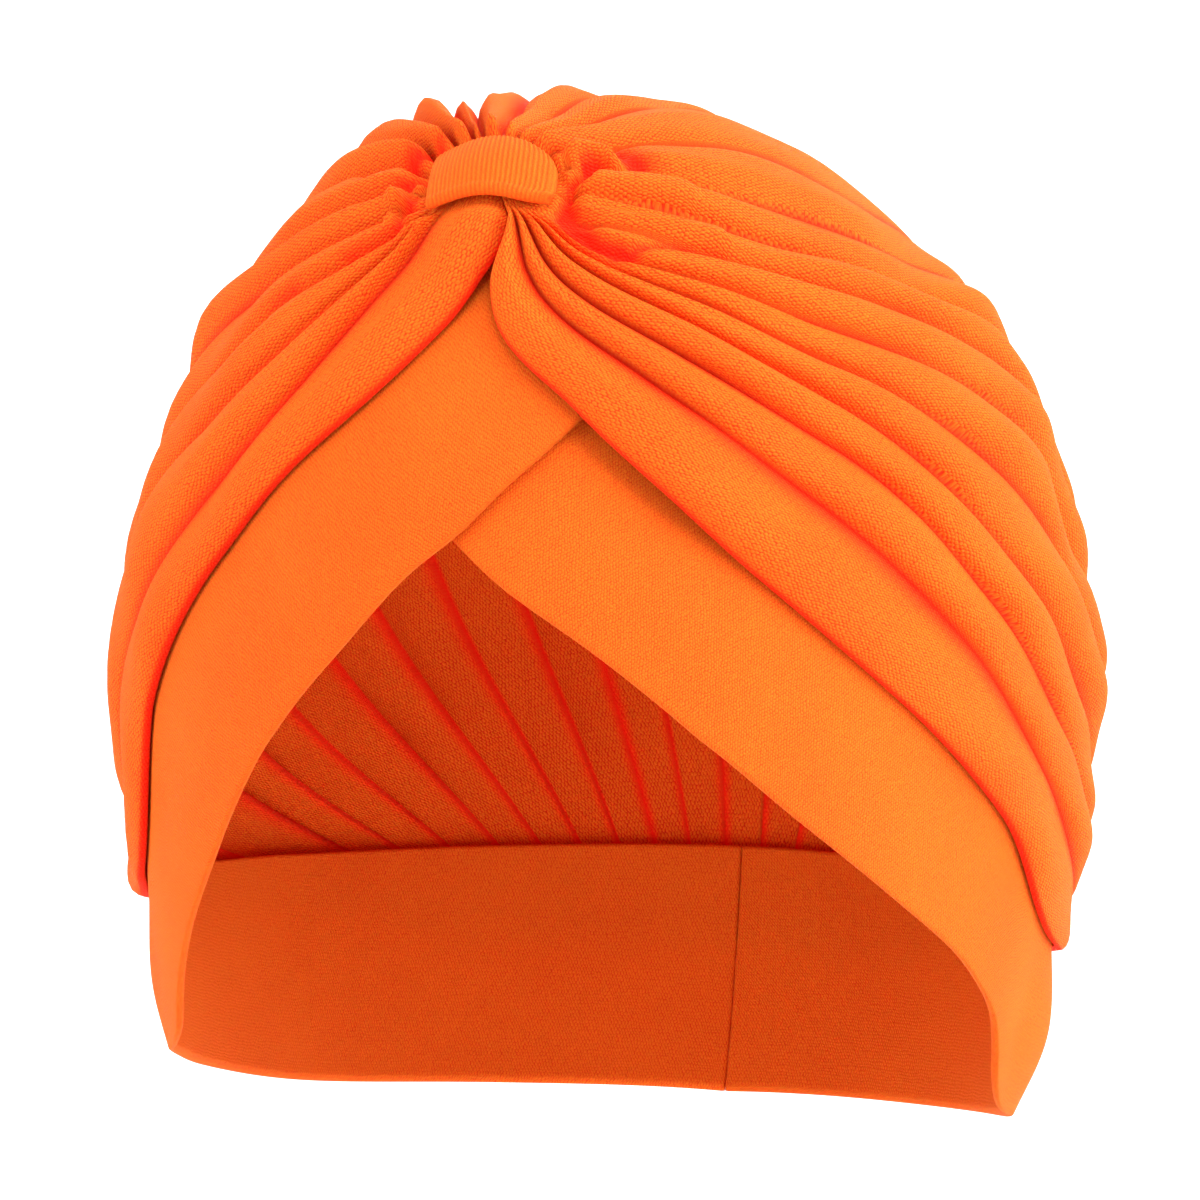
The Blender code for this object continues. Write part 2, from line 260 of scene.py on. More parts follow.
@dataclass(frozen=True)
class Knot:
    """Where the pleats gather, and the bunched cloth there."""

    form: HeadForm
    outline: TabOutline = field(default_factory=TabOutline)
    turn: float = math.radians(1.4)
    elevation: float = math.radians(59.5)
    bunch_rise: float = 0.0055
    bunch_half_width: float = 0.0185
    bunch_half_length: float = 0.0270

    @property
    def centre(self) -> np.ndarray:
        """Direction from the middle of the head to the knot."""
        return sphere_direction(np.float64(self.turn), np.float64(self.elevation))

    @property
    def side(self) -> np.ndarray:
        """Level direction across the knot, towards the wearer's left."""
        return np.array((math.cos(self.turn), math.sin(self.turn), 0.0))

    @property
    def up(self) -> np.ndarray:
        """Direction up over the head from the knot."""
        return np.cross(self.centre, self.side)

    @property
    def radius(self) -> float:
        """Distance from the middle of the head to the form under the knot."""
        return float(self.form.radius(self.centre, 0.0))

    def around(self, ring: np.ndarray, turn: np.ndarray) -> np.ndarray:
        """Directions at an angle from the knot and a turn about it from straight down the face."""
        outward = -np.sin(turn)[..., None] * self.side - np.cos(turn)[..., None] * self.up
        return np.cos(ring)[..., None] * self.centre + np.sin(ring)[..., None] * outward

    def place(self, direction: np.ndarray) -> tuple[np.ndarray, np.ndarray]:
        """Angle from the knot, and turn about it from 0 to a full turn, of directions."""
        ring = np.arccos(np.clip(direction @ self.centre, -1.0, 1.0))
        turn = np.arctan2(-(direction @ self.side), -(direction @ self.up))
        return ring, turn % (2.0 * math.pi)

    def offsets(self, direction: np.ndarray) -> tuple[np.ndarray, np.ndarray]:
        """How far to the right of the knot and above it directions meet the form."""
        return (direction @ self.side) * self.radius, (direction @ self.up) * self.radius

    def bunch_lift(self, direction: np.ndarray) -> np.ndarray:
        """Rise of the gathered cloth under the tab."""
        sideways, upwards = self.offsets(direction)
        across = (sideways - self.outline.shift) / self.bunch_half_width
        along = (upwards - self.outline.foot - 0.5 * self.outline.length) / self.bunch_half_length
        return self.bunch_rise * (1.0 - smooth_share(np.hypot(across, along), 0.0, 1.0))

    def beyond_tab(self, direction: np.ndarray) -> np.ndarray:
        """Distance from the tab's middle, in half sizes of the tab."""
        return self.outline.distance(*self.offsets(direction))


@dataclass(frozen=True)
class Fold:
    """One pleat of the crown, named after the crease that starts it.

    turns is where the crease crosses each of RINGS, in degrees about the knot from straight down
    the face. near, middle and far are the crest's height there as shares of the fold height, and
    lean is the side that the crest leans to, -1 to this crease and +1 to the next.
    """

    name: str
    turns: tuple[float, ...]
    near: float
    middle: float
    far: float
    lean: float


RINGS = (4.0, 10.0, 25.0, 45.0, 70.0, 95.0, 120.0)
CREST_RINGS = (14.0, 42.0, 98.0, 150.0)
FOLDS = (
    Fold("left_edge", (-29, 1, 27, 46, 56, 57, 86), 0.55, 0.55, 0.40, -0.8),
    Fold("left_1", (70, 50, 46, 58, 69, 73, 96), 0.70, 0.95, 0.60, -0.9),
    Fold("left_2", (76, 58, 60, 74, 87, 91, 107), 0.70, 0.70, 0.45, -0.9),
    Fold("left_3", (82, 67, 77, 87, 99, 103, 114), 0.80, 0.45, 0.35, -0.8),
    Fold("left_4", (88, 82, 90, 101, 109, 113, 122), 1.00, 0.85, 0.35, -0.7),
    Fold("left_5", (98, 102, 104, 112, 120, 123, 131), 1.10, 0.65, 0.40, -0.6),
    Fold("left_6", (118, 121, 121, 124, 131, 133, 139), 1.45, 0.90, 0.45, -0.5),
    Fold("left_7", (132, 133, 134, 136, 141, 143, 147), 1.50, 1.00, 0.40, -0.3),
    Fold("left_8", (141, 142, 145, 147, 151, 152, 155), 1.45, 1.05, 0.40, -0.2),
    Fold("left_9", (150, 151, 153, 154, 158, 160, 162), 0.95, 0.70, 0.40, 0.0),
    Fold("notch", (156, 157, 158, 160, 167, 168, 169), 1.25, 0.60, 0.40, -0.2),
    Fold("right_11", (172, 171, 169, 170, 176, 177, 177), 0.80, 0.45, 0.40, 0.1),
    Fold("right_10", (184, 183, 181, 182, 186, 187, 185), 0.65, 0.35, 0.40, 0.2),
    Fold("right_9", (198, 196, 195, 196, 198, 196, 193), 0.85, 0.35, 0.45, 0.3),
    Fold("right_8", (220, 218, 219, 223, 216, 210, 203), 0.90, 0.30, 0.30, 0.4),
    Fold("right_7", (240, 240, 242, 236, 225, 219, 211), 0.95, 0.40, 0.60, 0.5),
    Fold("right_6", (266, 262, 255, 244, 232, 226, 217), 0.60, 0.70, 0.90, 0.5),
    Fold("right_5", (286, 281, 266, 250, 238, 232, 223), 0.60, 0.90, 0.80, 0.6),
    Fold("right_4", (300, 296, 276, 259, 246, 241, 229), 0.50, 0.80, 0.85, 0.7),
    Fold("right_3b", (304, 301, 283, 268, 257, 250, 237), 0.50, 0.75, 0.80, 0.8),
    Fold("right_3", (310, 307, 291, 276, 268, 260, 245), 0.60, 0.85, 0.60, 0.8),
    Fold("right_2", (317, 319, 301, 284, 276, 268, 254), 0.55, 0.75, 0.60, 0.8),
    Fold("right_1", (325, 331, 312, 295, 284, 276, 263), 0.55, 0.50, 0.45, 0.8),
    Fold("right_edge", (331, 353, 331, 313, 298, 286, 275), 0.00, 0.00, 0.00, 0.0),
)


@dataclass(frozen=True)
class LocalFold:
    """A short ridge or dent of the crown near the knot.

    half_width and height are in millimetres, a dent's height below 0. path gives the places that
    its line passes, in millimetres to the right of the knot and above it.
    """

    name: str
    half_width: float
    height: float
    path: tuple[tuple[float, float], ...]


LOCAL_FOLDS = (
    LocalFold("curled_tuck", 0.80, 2.1, (
        (7.7, 6.2), (9.0, 4.6), (10.4, 4.0), (11.5, 5.2), (11.0, 6.6), (10.0, 7.4),
        (10.4, 9.0), (12.0, 10.9), (14.2, 11.2), (17.5, 10.2), (22.0, 10.6),
    )),
    LocalFold("tuck_shadow", 1.1, -2.6, (
        (12.9, 4.6), (12.9, 6.6), (12.2, 8.0), (14.0, 8.9), (17.0, 8.3),
    )),
    LocalFold("upper_hollow", 2.0, -2.2, ((13.0, 13.6), (16.5, 14.0), (19.5, 13.0))),
    LocalFold("puff_upper_crease", 0.9, -2.0, (
        (12.0, 4.0), (14.3, 6.8), (18.7, 8.6), (23.1, 10.6), (28.5, 12.9),
    )),
    LocalFold("puff", 2.2, 1.0, ((13.4, 2.2), (17.0, 4.0), (22.0, 6.2), (27.0, 8.8))),
    LocalFold("puff_seam", 0.5, 0.8, ((11.2, -0.6), (16.1, 1.2), (23.7, 3.0), (30.9, 6.2))),
    LocalFold("tab_shadow", 1.1, -1.8, ((11.2, 3.0), (11.8, 0.6), (11.4, -1.8))),
    LocalFold("rope_cave", 1.8, -2.8, ((10.6, -2.0), (13.4, -5.0), (17.8, -7.0), (21.0, -7.6))),
    LocalFold("curled_end", 0.8, -1.8, (
        (21.6, -8.4), (24.1, -7.3), (24.8, -5.6), (26.6, -4.2), (30.3, -2.7), (36.1, 0.6),
    )),
    LocalFold("curled_crest", 2.0, 1.3, ((19.0, -4.6), (24.0, -2.6), (28.0, -0.4), (35.0, 3.4))),
    LocalFold("left_tuck", 0.8, 1.6, (
        (-14.4, 3.6), (-16.6, 2.9), (-17.6, 1.2), (-16.9, -1.6), (-17.0, -4.6),
    )),
    LocalFold("left_tuck_shadow", 0.9, -1.8, ((-14.6, 0.8), (-15.0, -2.2), (-15.8, -5.4))),
    LocalFold("left_upper_crease", 1.1, -2.4, ((-13.0, 12.4), (-19.8, 10.6), (-25.7, 11.8))),
    LocalFold("left_lower_crease", 1.1, -2.4, ((-12.0, 5.4), (-16.5, 4.6), (-22.5, 3.0))),
    LocalFold("left_near_dent", 1.4, -1.2, ((-16.7, -7.5), (-19.8, -8.6), (-24.0, -9.2))),
    LocalFold("left_far_dent", 1.3, -1.3, ((-43.6, -11.5), (-41.0, -9.4), (-36.2, -9.1))),
)


def share_along(places: np.ndarray, fold: LocalFold) -> np.ndarray:
    """Find how much of a local fold's height places have.

    Args:
        places: millimetres to the right of the knot and above it.
        fold: the ridge or dent.

    Returns:
        1 on the fold's line to 0 well away: rounded for a ridge, sharp for a dent.
    """
    nearest = np.full(places.shape[:-1], np.inf)
    for first, second in zip(fold.path, fold.path[1:]):
        start, step = np.array(first), np.subtract(second, first)
        share = np.clip(((places - start) @ step) / (step @ step), 0.0, 1.0)
        away = np.linalg.norm(places - start - share[..., None] * step, axis=-1)
        nearest = np.minimum(nearest, away)
    if fold.height < 0.0:
        return np.exp(-((nearest / fold.half_width) ** 1.4))
    return np.maximum(1.0 - (nearest / (1.5 * fold.half_width)) ** 2, 0.0) ** 0.8


# Edges of each band: azimuth in degrees from the face, rising towards +X, then the heights of its
# lower and upper edge, as shares of the nape drop below the widest level and of the top's rise
# above it.
LEFT_EDGES = (
    (-180, -1.00, -0.46),
    (-150, -0.98, -0.46),
    (-120, -0.93, -0.44),
    (-90, -0.83, -0.38),
    (-72, -0.76, -0.20),
    (-60, -0.72, 0.00),
    (-53, -0.67, 0.12),
    (-50, -0.60, 0.17),
    (-47, -0.53, 0.21),
    (-43, -0.45, 0.27),
    (-35, -0.30, 0.38),
    (-30, -0.19, 0.45),
    (-23, -0.04, 0.54),
    (-17, 0.06, 0.62),
    (-10, 0.16, 0.71),
    (-3, 0.26, 0.79),
    (3, 0.33, 0.83),
    (8, 0.40, 0.84),
    (13, 0.46, 0.82),
    (20, 0.54, 0.79),
    (31, 0.65, 0.76),
)
RIGHT_EDGES = (
    (-15, 0.53, 0.74),
    (-6, 0.42, 0.72),
    (3, 0.31, 0.72),
    (8, 0.25, 0.72),
    (19, 0.14, 0.70),
    (31, 0.00, 0.60),
    (44, -0.17, 0.48),
    (60, -0.35, 0.30),
    (73, -0.48, 0.14),
    (80, -0.56, 0.05),
    (86, -0.64, -0.04),
    (89, -0.71, -0.08),
    (92, -0.79, -0.12),
    (97, -0.85, -0.17),
    (106, -0.89, -0.27),
    (125, -0.94, -0.41),
    (150, -0.98, -0.46),
    (180, -1.00, -0.46),
)


@dataclass
class ClothShell:
    """A closed sheet of cloth: an outer and an inner grid of points that meet in folded rims."""

    name: str
    outer: np.ndarray
    inner: np.ndarray
    marks: dict[str, np.ndarray] = field(default_factory=dict)
    middles: np.ndarray | None = None
    reach: np.ndarray | None = None

    def cloth_map(self) -> np.ndarray:
        """Place of each grid point on the flat cloth, in millimetres: across, then along.

        middles, where given, holds for each column the column in the middle of its pleat, from
        which the cloth is measured across. reach, where given, is how far along each point lies.
        """
        across = np.linalg.norm(np.diff(self.outer, axis=0), axis=-1)
        along = np.linalg.norm(np.diff(self.outer, axis=1), axis=-1)
        flat = np.zeros(self.outer.shape[:2] + (2,))
        flat[1:, :, 0] = np.cumsum(across, axis=0)
        flat[:, 1:, 1] = np.cumsum(along, axis=1)
        if self.middles is not None:
            width = flat[:, :, 0].copy()
            half_way = width.shape[1] // 2
            flat[:, :, 0] = width - width[self.middles] + width[self.middles, half_way][:, None]
        if self.reach is not None:
            flat[:, :, 1] = self.reach
        return flat / MILLIMETRE

    def add_side(self, bm: bmesh.types.BMesh, points: np.ndarray, flat: np.ndarray) -> None:
        """Add one grid and set it to its points, its cloth map and its marks.

        Args:
            bm: the mesh that is being built.
            points: where each grid point goes, by column and row.
            flat: where each grid point lies on the flat cloth.
        """
        columns, rows = points.shape[0] - 1, points.shape[1] - 1
        made = bmesh.ops.create_grid(bm, x_segments=columns, y_segments=rows, size=1.0)["verts"]
        maps = bm.loops.layers.uv[CLOTH_MAP]
        layers = {mark: bm.verts.layers.float[mark] for mark in self.marks}
        cells = {}
        for vert in made:
            cell = (round((vert.co.x + 1.0) * 0.5 * columns), round((vert.co.y + 1.0) * 0.5 * rows))
            cells[vert] = cell
        for vert, cell in cells.items():
            vert.co = points[cell]
            for mark, layer in layers.items():
                vert[layer] = self.marks[mark][cell]
            for loop in vert.link_loops:
                loop[maps].uv = flat[cell]

    def build(self) -> bpy.types.Object:
        """Build the sheet.

        Returns:
            The new object, linked to the scene, with its place in its mesh.
        """
        bm = bmesh.new()
        bm.loops.layers.uv.new(CLOTH_MAP)
        for mark in self.marks:
            bm.verts.layers.float.new(mark)
        flat = self.cloth_map()
        self.add_side(bm, self.outer, flat)
        self.add_side(bm, self.inner, flat)
        bmesh.ops.remove_doubles(bm, verts=bm.verts, dist=WELD)
        bmesh.ops.dissolve_degenerate(bm, edges=bm.edges, dist=WELD)
        bmesh.ops.recalc_face_normals(bm, faces=bm.faces)
        mesh = bpy.data.meshes.new(self.name)
        bm.to_mesh(mesh)
        bm.free()
        mesh.shade_smooth()
        piece = bpy.data.objects.new(self.name, mesh)
        bpy.context.scene.collection.objects.link(piece)
        return piece


def split_wall(
    form: HeadForm, direction: np.ndarray, low: np.ndarray, high: np.ndarray, rim: np.ndarray,
) -> tuple[np.ndarray, np.ndarray]:
    """Raise the two faces of a wall off the form.

    Args:
        form: the head.
        direction: unit vectors of the grid points.
        low: lift of the inner face.
        high: lift of the outer face.
        rim: 0 on a rim, where the faces meet, to 1 inside it.

    Returns:
        The points of the outer face and of the inner face.
    """
    middle, half = 0.5 * (low + high), 0.5 * (high - low) * rim
    return form.point(direction, middle + half), form.point(direction, middle - half)


def with_rims(
    stations: np.ndarray, length: float, radius: float, at_start: bool, at_end: bool,
) -> tuple[np.ndarray, np.ndarray]:
    """Stations along a length with close steps round its folded rims.

    Args:
        stations: even shares from 0 to 1 that the length already has.
        length: the length itself.
        radius: the rim's radius.
        at_start: whether there is a rim at the start.
        at_end: whether there is a rim at the end.

    Returns:
        The shares with the rims' steps added, and how far inside a rim each one is, 0 to 1.
    """
    rim = radius / length
    first = 1.2 * rim if at_start else -1.0
    last = 1.0 - 1.2 * rim if at_end else 2.0
    inside = [(share, 1.0) for share in stations if first < share < last]
    start = [(rim * away, full) for away, full in RIM_STEPS] if at_start else []
    end = [(1.0 - rim * away, full) for away, full in reversed(RIM_STEPS)] if at_end else []
    steps = np.array(start + inside + end)
    return steps[:, 0], steps[:, 1]


@dataclass
class Crown:
    """The pleated crown: a fan of cloth round the knot, from the brow over the top to the nape."""

    form: HeadForm
    layers: Layers
    knot: Knot
    wall: float = 0.0016
    fold_height: float = 0.0046
    inner_follow: float = 0.80
    fold_start: float = 0.88
    fold_full: float = 1.60
    local_start: float = 0.98
    local_full: float = 1.15
    overhang: float = 0.0011
    overhang_start: float = math.radians(7.0)
    overhang_full: float = math.radians(30.0)
    gather_height: float = 0.00045
    gather_end: float = math.radians(48.0)
    slack_height: float = 0.00060
    slack_start: float = 0.2
    slack_full: float = 0.6
    hem_crest: float = 0.4
    bunch_give: float = 0.6
    # Depth of a local dent at which it takes the full painted crease shade
    dent_shade_depth: float = 0.0016
    edge_settle: float = 0.0006
    settle_reach: float = 0.35
    hem_flatness: float = 0.90
    hem_start: float = 0.86
    hem_full: float = 0.99
    hem_drop: float = 0.0570
    hem_sag: float = 0.0020
    hem_turn: float = math.radians(145.0)
    edge_fold_width: float = 0.028
    run: float = 0.24
    columns_per_fold: int = 12
    rows: int = 162
    row_crowding: float = 1.75

    def hem_direction(self, share: np.ndarray) -> np.ndarray:
        """Directions to the back hem, from its left corner to its right one."""
        turn = -self.hem_turn - share * 2.0 * (math.pi - self.hem_turn)
        return self.form.level_direction(turn, -(self.hem_drop + self.hem_sag * np.sin(math.pi * share)))

    def columns(self) -> tuple[np.ndarray, np.ndarray, np.ndarray]:
        """Lay out the columns: each one's fold, its share of the fold, and how far inside a rim it is."""
        folds, shares, rims = [], [], []
        last = len(FOLDS) - 2
        even = np.arange(self.columns_per_fold) / self.columns_per_fold
        for index in range(last + 1):
            stations = np.append(even, 1.0) if index == last else even
            fold_shares, fold_rims = with_rims(
                stations, self.edge_fold_width, 0.5 * self.wall, index == 0, index == last,
            )
            folds.append(np.full(len(fold_shares), index))
            shares.append(fold_shares)
            rims.append(fold_rims)
        return np.concatenate(folds), np.concatenate(shares), np.concatenate(rims)

    def section(self, share: float, fold: Fold) -> tuple[float, float]:
        """Shape of a pleat's cross-section.

        Args:
            share: how far across the pleat, from its crease to the next.
            fold: the pleat.

        Returns:
            How far the cloth hangs over sideways, -1 to 1, and its height, 0 to 1.
        """
        crest = 0.5 + 0.2 * abs(fold.lean)
        across = share if fold.lean >= 0.0 else 1.0 - share
        rise = across / crest if across < crest else (1.0 - across) / (1.0 - crest)
        height = math.sin(0.5 * math.pi * rise) ** 0.8
        roll = math.sin(math.pi * (1.0 - rise)) if across > crest else 0.0
        return roll * fold.lean, height

    def relief(self, index: np.ndarray, share: np.ndarray, height: np.ndarray, ring: np.ndarray) -> np.ndarray:
        """Height of the cloth over its valleys at every grid point."""
        degrees = np.degrees(ring)
        crests = []
        for column, i in enumerate(index):
            fold = FOLDS[i]
            heights = (fold.near, fold.middle, fold.far, self.hem_crest * fold.far)
            crests.append(curve_through(CREST_RINGS, heights, degrees[column]))
        number, across, height = index[:, None], share[:, None], height[:, None]
        main = self.fold_height * np.stack(crests) * height
        gather = self.gather_height * np.sin(math.pi * 3.0 * across + 1.7 * number) ** 2
        gather = gather * height * (1.0 - smooth_share(ring, 0.4 * self.gather_end, self.gather_end))
        long_wave = np.sin(0.13 * degrees + 2.1 * number)
        short_wave = 0.6 * np.sin(0.31 * degrees + 4.4 * across + 1.3 * number)
        slack = self.slack_height * height * (long_wave + short_wave)
        slack = slack * smooth_share(ring, self.slack_start, self.slack_full)
        return np.maximum(main + gather + slack, 0.0)

    def local_relief(self, direction: np.ndarray) -> np.ndarray:
        """Height that the local folds add or take away in the given directions."""
        places = np.stack(self.knot.offsets(direction), -1) / MILLIMETRE
        near_side = direction @ self.knot.centre > 0.3
        added = sum(fold.height * share_along(places, fold) for fold in LOCAL_FOLDS)
        clear = smooth_share(self.knot.beyond_tab(direction), self.local_start, self.local_full)
        return np.where(near_side, added, 0.0) * clear * MILLIMETRE

    def column_turns(
        self, index: np.ndarray, share: np.ndarray, ring: np.ndarray,
        hem_ring: np.ndarray, hem_turn: np.ndarray,
    ) -> np.ndarray:
        """Turns about the knot of all grid points.

        Args:
            index: each column's pleat.
            share: how far across its pleat each column lies.
            ring: angle of each grid point from the knot.
            hem_ring: angle from the knot at which each column meets the hem.
            hem_turn: turn at which each column meets the hem.

        Returns:
            One turn for each grid point.
        """
        turn = np.empty_like(ring)
        for column, (i, s) in enumerate(zip(index, share)):
            first, second = np.array(FOLDS[i].turns), np.array(FOLDS[i + 1].turns)
            turns = np.append(first + (second - first) * s, math.degrees(hem_turn[column]))
            stations = np.append(RINGS, math.degrees(hem_ring[column]))
            turn[column] = np.radians(curve_through(stations, turns, np.degrees(ring[column])))
        return turn

    @staticmethod
    def crease_shade_share(roll: np.ndarray, height: np.ndarray) -> np.ndarray:
        """Share of painted crease shade for each column, narrow under the overhang and wide on the long side.
        """
        under = smooth_share(1.0 - height, 0.70, 1.0)
        long_side = smooth_share(1.0 - height, 0.22, 0.95)
        return np.where(np.abs(roll) > 0.001, under, long_side)

    def build(self) -> bpy.types.Object:
        """Build the crown.

        Returns:
            The crown's object.
        """
        index, share, rim = self.columns()
        creases = len(FOLDS) - 1
        hem_ring, hem_turn = self.knot.place(self.hem_direction((index + share) / creases))
        even = np.linspace(0.0, 1.0, self.rows)
        row_share, row_rim = with_rims(even, self.run, 0.5 * self.wall, False, True)
        ring = hem_ring[:, None] * row_share[None, :] ** self.row_crowding
        turn = self.column_turns(index, share, ring, hem_ring, hem_turn)
        roll, height = np.array([self.section(s, FOLDS[i]) for i, s in zip(index, share)]).T
        hang = self.overhang * roll[:, None] * smooth_share(ring, self.overhang_start, self.overhang_full)
        turn += hang / (self.knot.radius * np.maximum(np.sin(ring), 0.1))
        direction = self.knot.around(ring, turn)
        raised = smooth_share(self.knot.beyond_tab(direction), self.fold_start, self.fold_full)
        bunch = self.knot.bunch_lift(direction)
        local = self.local_relief(direction)
        sewn = 1.0 - self.hem_flatness * smooth_share(row_share, self.hem_start, self.hem_full)[None, :]
        pleats = self.relief(index, share, height, ring) * raised * sewn
        relief = np.maximum(pleats + local, -self.bunch_give * bunch)
        from_edge = np.minimum(index + share, creases - index - share)
        settle = self.edge_settle * (1.0 - smooth_share(from_edge, 0.0, self.settle_reach))
        floor = self.layers.crown_floor(direction) + bunch - settle[:, None]
        rims = rim[:, None] * row_rim[None, :]
        rims[:, 0] = 0.0
        low, high = floor + self.inner_follow * relief, floor + self.wall + relief
        outer, inner = split_wall(self.form, direction, low, high, rims)
        # Painted shade: the creases and the local dents take the red crease colour, and the local ridges take
        # less
        crease_shade = self.crease_shade_share(roll, height)[:, None] * raised
        painted_shade = np.clip(crease_shade - local / self.dent_shade_depth, 0.0, 1.0)
        middles = np.array([np.argmin(np.abs(index + share - i - 0.5)) for i in index])
        reach = ring * self.knot.radius
        return ClothShell("pleated_crown", outer, inner, {PAINTED_SHADE: painted_shade}, middles, reach).build()


@dataclass
class Band:
    """A plain folded band between a lower and an upper edge, from the nape to past the crossing."""

    form: HeadForm
    layers: Layers
    side: BandSide
    edges: tuple[tuple[float, float, float], ...]
    over: float
    nape_drop: float = 0.0860
    nape_gap: float = 0.00004
    run: float = 0.30
    width: float = 0.045
    columns: int = 220
    rows: int = 44

    def level(self, share: np.ndarray) -> np.ndarray:
        """Height over the widest level of a share in the edge table."""
        return share * np.where(share > 0.0, self.form.top_rise, self.nape_drop)

    def build(self) -> bpy.types.Object:
        """Build the band.

        Returns:
            The band's object.
        """
        stations, lows, highs = (np.array(column, float) for column in zip(*self.edges))
        seam = math.degrees(0.5 * self.nape_gap / self.form.back_reach)
        start, end = max(stations[0], -180.0 + seam), min(stations[-1], 180.0 - seam)
        rim_radius = 0.5 * self.layers.band_wall
        across, across_rim = with_rims(np.linspace(0.0, 1.0, self.columns), self.run, rim_radius, True, True)
        up, up_rim = with_rims(np.linspace(0.0, 1.0, self.rows), self.width, rim_radius, True, True)
        azimuth = start + (end - start) * across
        low = self.level(curve_through(stations, lows, azimuth))
        high = self.level(curve_through(stations, highs, azimuth))
        height = low[:, None] + (high - low)[:, None] * up[None, :]
        turn = np.radians(azimuth)[:, None] + 0.0 * height
        direction = self.form.level_direction(turn, height)
        lift = self.over * self.layers.step * self.layers.crossing_share(direction)
        rims = across_rim[:, None] * up_rim[None, :]
        outer, inner = split_wall(self.form, direction, lift, lift + self.layers.band_wall, rims)
        marks = {PAINTED_SHADE: np.zeros(rims.shape)}
        return ClothShell(self.side.value + "_cloth", outer, inner, marks).build()


@dataclass
class Tab:
    """The rib-knit tab, arched over the gathered cloth, with a turned hem along its lower edge."""

    form: HeadForm
    layers: Layers
    knot: Knot
    crown_wall: float = 0.0016
    wall: float = 0.0020
    clearance: float = 0.0012
    rib_pitch: float = 0.00077
    rib_depth: float = 0.00020
    hem_radius: float = 0.0007
    hem_rise: float = 0.45
    columns_per_rib: int = 6
    rows: int = 40

    def build(self) -> bpy.types.Object:
        """Build the tab.

        Returns:
            The tab's object.
        """
        outline = self.knot.outline
        ribs = round(outline.width / self.rib_pitch)
        even_x = np.linspace(0.0, 1.0, ribs * self.columns_per_rib + 1)
        even_y = np.linspace(0.0, 1.0, self.rows)
        share_x, rim_x = with_rims(even_x, outline.width, 0.5 * self.wall, True, True)
        share_y, rim_y = with_rims(even_y, outline.length, 0.5 * self.wall, True, True)
        across, along = np.meshgrid(2.0 * share_x - 1.0, 2.0 * share_y - 1.0, indexing="ij")
        sideways, upwards = outline.place(across, along)
        middle = self.knot.centre * self.knot.radius
        direction = middle + sideways[..., None] * self.knot.side + upwards[..., None] * self.knot.up
        direction /= np.linalg.norm(direction, axis=-1, keepdims=True)
        crown = self.layers.crown_floor(direction) + self.knot.bunch_lift(direction) + self.crown_wall
        floor = crown + self.clearance
        rib = 0.5 - 0.5 * np.cos(2.0 * math.pi * ribs * 0.5 * (across + 1.0))
        from_hem = 0.5 * (along + 1.0) * outline.length_at(across)
        hem = np.sqrt(np.maximum(1.0 - ((from_hem - self.hem_radius) / self.hem_radius) ** 2, 0.0))
        rims = rim_x[:, None] * rim_y[None, :]
        high = floor + self.wall + self.rib_depth * (rib - 1.0) + self.hem_rise * self.hem_radius * hem
        outer, inner = split_wall(self.form, direction, floor, high, rims)
        # Painted shade: the valleys between the ribs take part of the red crease colour
        return ClothShell("rib_tab", outer, inner, {PAINTED_SHADE: 1.0 - rib}).build()


def linear_colour(hex_value: str) -> tuple[float, float, float, float]:
    """Turn an sRGB hex value such as FF8040 into linear RGBA."""
    shares = [int(hex_value[i:i + 2], 16) / 255.0 for i in (0, 2, 4)]
    linear = [s / 12.92 if s <= 0.04045 else ((s + 0.055) / 1.055) ** 2.4 for s in shares]
    return (*linear, 1.0)


def add_node(
    tree: bpy.types.NodeTree, kind: str, settings: dict[str, object], links: dict[int | str, object],
) -> bpy.types.Node:
    """Add a node.

    Args:
        tree: the material's node tree.
        kind: the node's type name.
        settings: attributes of the node.
        links: for each input, a socket to link or a value to set.

    Returns:
        The new node.
    """
    made = tree.nodes.new(kind)
    for name, value in settings.items():
        setattr(made, name, value)
    for name, value in links.items():
        if isinstance(value, bpy.types.NodeSocket):
            tree.links.new(value, made.inputs[name])
        else:
            made.inputs[name].default_value = value
    return made


